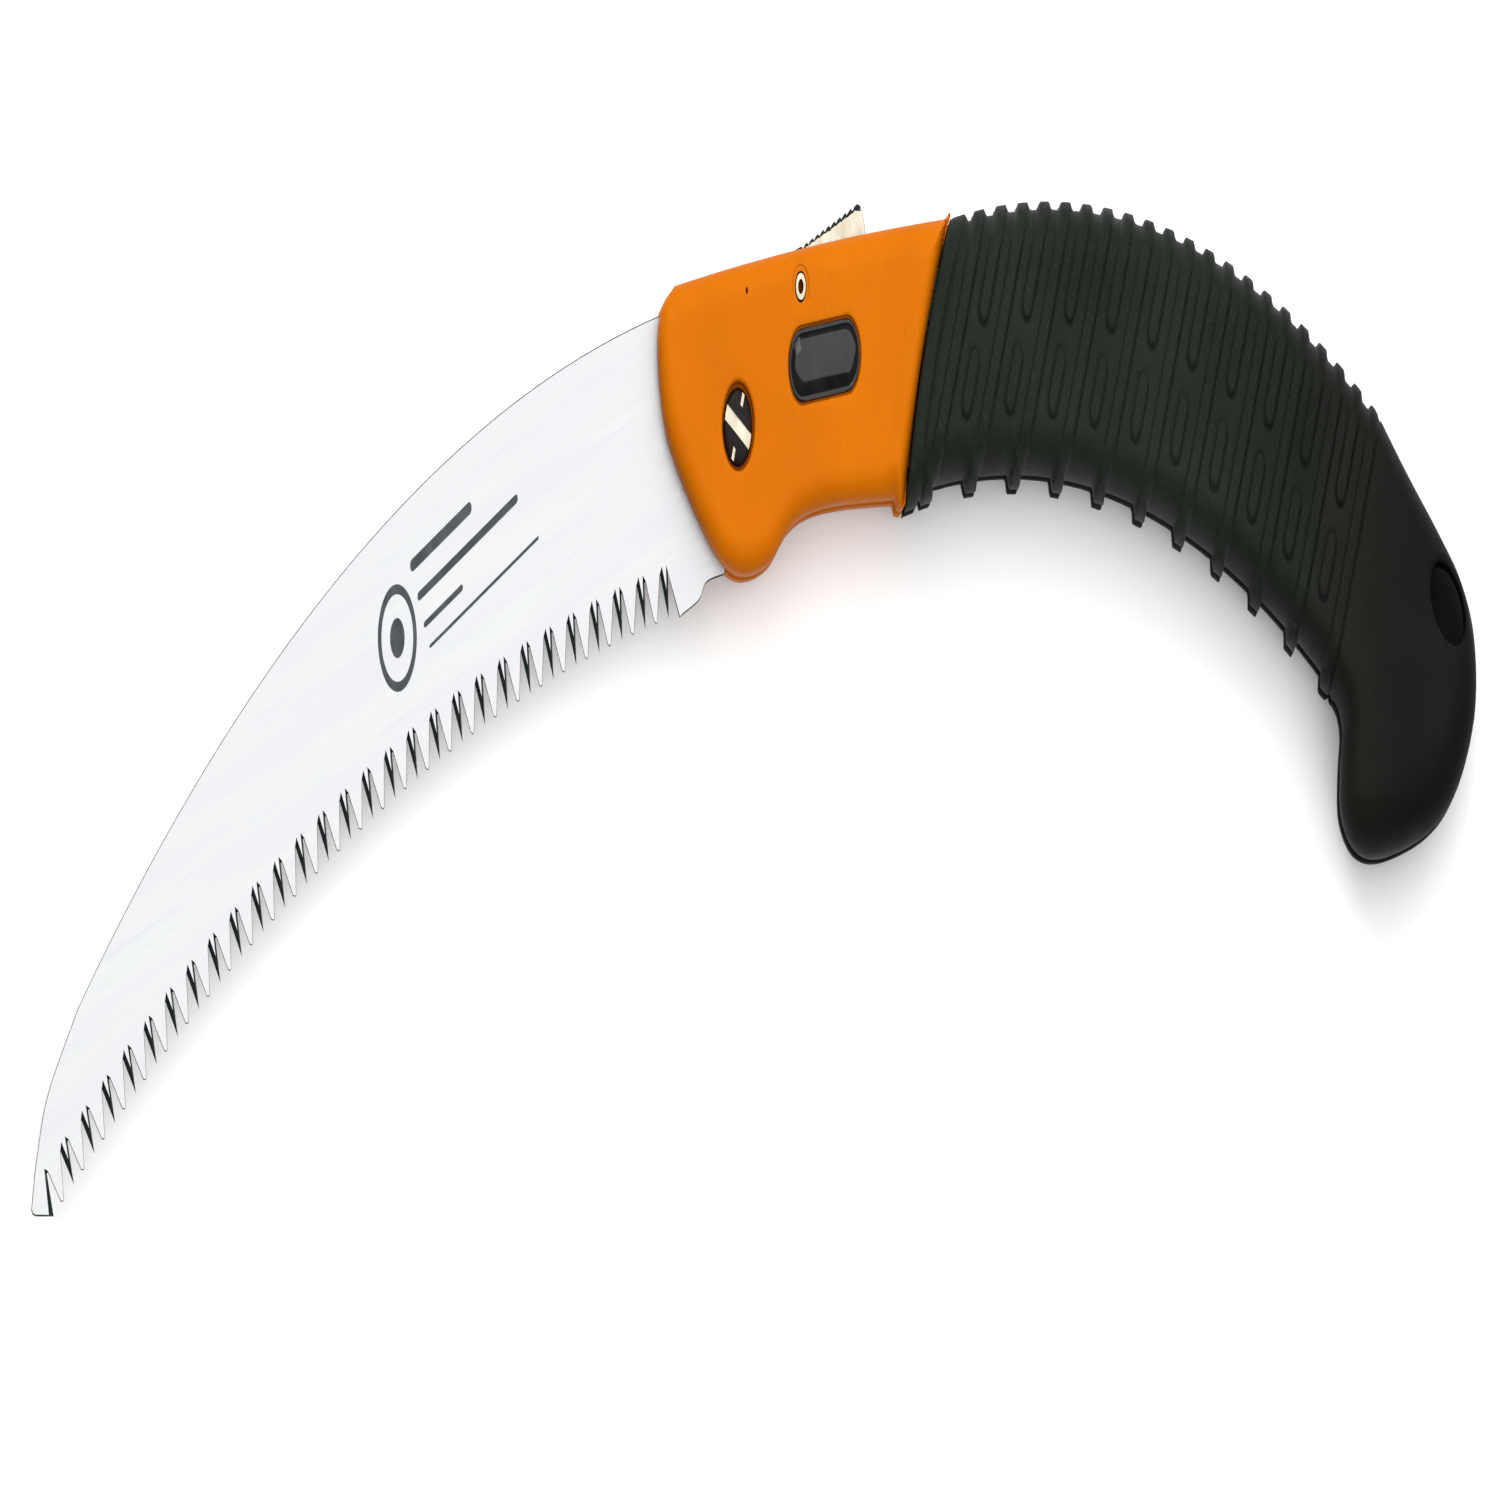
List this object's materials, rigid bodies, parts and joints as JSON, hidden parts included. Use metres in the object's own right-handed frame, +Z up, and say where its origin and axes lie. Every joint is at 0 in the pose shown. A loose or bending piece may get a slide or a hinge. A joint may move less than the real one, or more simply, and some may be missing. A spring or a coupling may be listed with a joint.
{
  "type": "folding pruning saw",
  "caption": "Folding pruning saw with a curved toothed blade, orange head, rocking thumb lock and a ribbed, curved rubber grip with a hooked pommel.",
  "frame": {"origin": "under the middle of the open saw's outline, on the surface that it lies on", "axes": "X from the blade's tip to the pommel, Y from the teeth to the spine, Z up across the saw, from the far cheek to the near one"},
  "size_m": [0.4734, 0.1202, 0.026],
  "materials": {
    "blade_steel": "bright satin steel, ground along the blade, with darker bevels on the teeth",
    "shell_orange": "smooth orange moulding with a soft sheen",
    "grip_rubber": "matt black rubber with a faint green cast and raised ribs",
    "liner_steel": "plain zinc-plated plate",
    "spacer_black": "black moulded plastic",
    "screw_zinc": "zinc-plated screw",
    "nickel_plate": "bright nickel plate",
    "bearing_bronze": "plain bearing bronze",
    "spring_steel": "dark spring steel",
    "badge_black": "domed gloss black, with no mark on it"
  },
  "bodies": {
    "handle": {"handle_shell_near": "shell_orange", "handle_shell_far": "shell_orange", "rubber_grip_near": "grip_rubber", "rubber_grip_far": "grip_rubber", "liner_near": "liner_steel", "liner_far": "liner_steel", "spine_spacer": "spacer_black", "handle_screw_1": "screw_zinc", "handle_screw_2": "screw_zinc", "handle_screw_3": "screw_zinc", "pivot_screw": "nickel_plate", "pivot_nut": "nickel_plate", "pivot_bushing": "bearing_bronze", "thrust_washer_near": "bearing_bronze", "thrust_washer_far": "bearing_bronze", "lever_roll_pin": "nickel_plate", "lever_spring": "spring_steel", "spring_anchor_pin": "spring_steel", "blade_stop_pin": "spring_steel", "badge_near": "badge_black", "badge_far": "badge_black"},
    "blade": {"blade": "blade_steel"},
    "lock_lever": {"lock_lever": "nickel_plate"}
  },
  "joints": [
    {"name": "blade_fold", "type": "hinge", "parent": "handle", "child": "blade", "pos_m": [-0.00526, 0.03305, 0.013], "axis": [0, 0, 1], "range_deg": [0, 154]},
    {"name": "lever_press", "type": "hinge", "parent": "handle", "child": "lock_lever", "pos_m": [0.01534, 0.04965, 0.013], "axis": [0, 0, -1], "range_deg": [0, 8], "stiffness_Nm_per_rad": 0.6, "springref_deg": -8.59}
  ]
}
